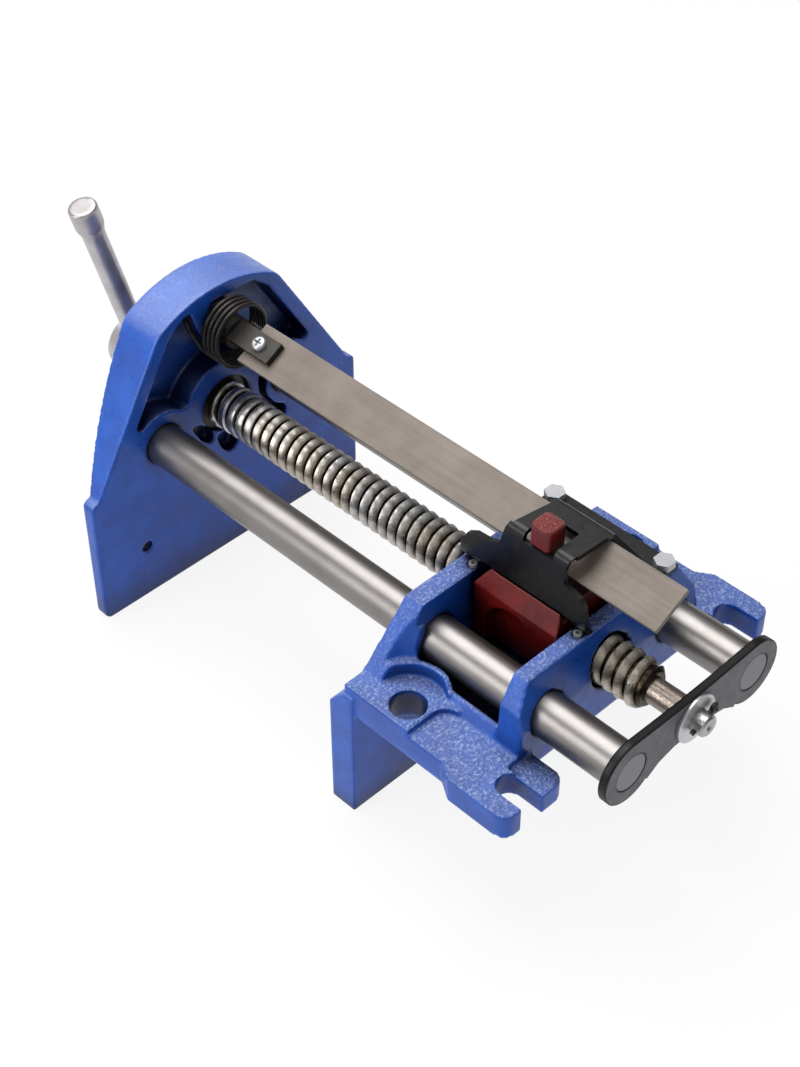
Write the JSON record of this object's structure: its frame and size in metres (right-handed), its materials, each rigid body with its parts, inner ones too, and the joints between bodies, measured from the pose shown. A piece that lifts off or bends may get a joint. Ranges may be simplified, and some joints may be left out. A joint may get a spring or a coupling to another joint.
{
  "type": "woodworking vise",
  "caption": "Quick-release bench vise shown inverted: arched front jaw, two guide rods, lead screw, half nut under a flat release bar, body with bench flange and tommy bar.",
  "frame": {"origin": "on the face that meets the bench, midway between the two round bolt holes", "axes": "+Y along the screw from the tommy bar towards the link plate, +X across the jaws, +Z away from the bench; the vise is stored upside down as pictured, so in use -Z points up"},
  "size_m": [0.18, 0.391, 0.1925],
  "materials": {
    "blue_casting": "glossy blue enamel on rough cast iron",
    "red_casting": "red enamel on cast iron",
    "black_sheet": "black paint on pressed steel",
    "black_plate": "satin black on steel plate",
    "ground_steel": "ground bright bar",
    "screw_steel": "oiled machined steel",
    "flat_steel": "plain drawn flat bar",
    "black_oxide": "black oxide steel",
    "zinc": "bright zinc plate",
    "spring_steel": "oiled dark spring wire"
  },
  "bodies": {
    "base": {"body_casting": "blue_casting", "release_cover": "black_sheet", "cover_bolts": "zinc", "cover_pins": "zinc"},
    "jaw": {"front_jaw": "blue_casting", "guide_rod_left": "ground_steel", "guide_rod_right": "ground_steel", "rod_pins": "ground_steel", "link_plate": "black_plate", "thrust_washer": "zinc", "lever_washer": "zinc", "lever_spring": "spring_steel"},
    "screw": {"lead_screw": "screw_steel", "thrust_collar": "black_oxide", "collar_pin": "black_oxide", "screw_head": "ground_steel", "head_pin": "black_oxide", "tail_washer": "zinc", "split_pin": "black_oxide"},
    "handle": {"tommy_bar": "ground_steel", "tommy_bar_cap": "ground_steel"},
    "release": {"release_shaft": "black_oxide", "release_bar": "flat_steel", "bar_screw": "zinc", "bar_nut": "zinc", "release_lever": "black_sheet", "lever_nut": "zinc"},
    "nut": {"half_nut": "red_casting"}
  },
  "joints": [
    {"name": "jaw_slide", "type": "slide", "parent": "base", "child": "jaw", "axis": [0, 1, 0], "range_m": [-0.0414, 0.1664]},
    {"name": "screw_turn", "type": "hinge", "parent": "jaw", "child": "screw", "pos_m": [0, -0.2, 0.0289], "axis": [0, 1, 0], "range_deg": [-2341.4, 9428]},
    {"name": "tommy_slide", "type": "slide", "parent": "screw", "child": "handle", "axis": [0.2588, 0, 0.9659], "range_m": [-0.066, 0.064]},
    {"name": "lever_turn", "type": "hinge", "parent": "jaw", "child": "release", "pos_m": [-0.0015, -0.2, 0.0778], "axis": [0, -1, 0], "range_deg": [0, 24], "stiffness_Nm_per_rad": 0.6, "springref_deg": -20.05, "deforming": ["lever_spring"]},
    {"name": "nut_lift", "type": "slide", "parent": "base", "child": "nut", "axis": [0, 0, 1], "range_m": [0, 0.0045]}
  ],
  "couplings": [
    {"joint": "jaw_slide", "follows": "screw_turn", "m_per_rad": 0.0010106},
    {"joint": "nut_lift", "follows": "lever_turn", "m_per_rad": 0.01074}
  ]
}
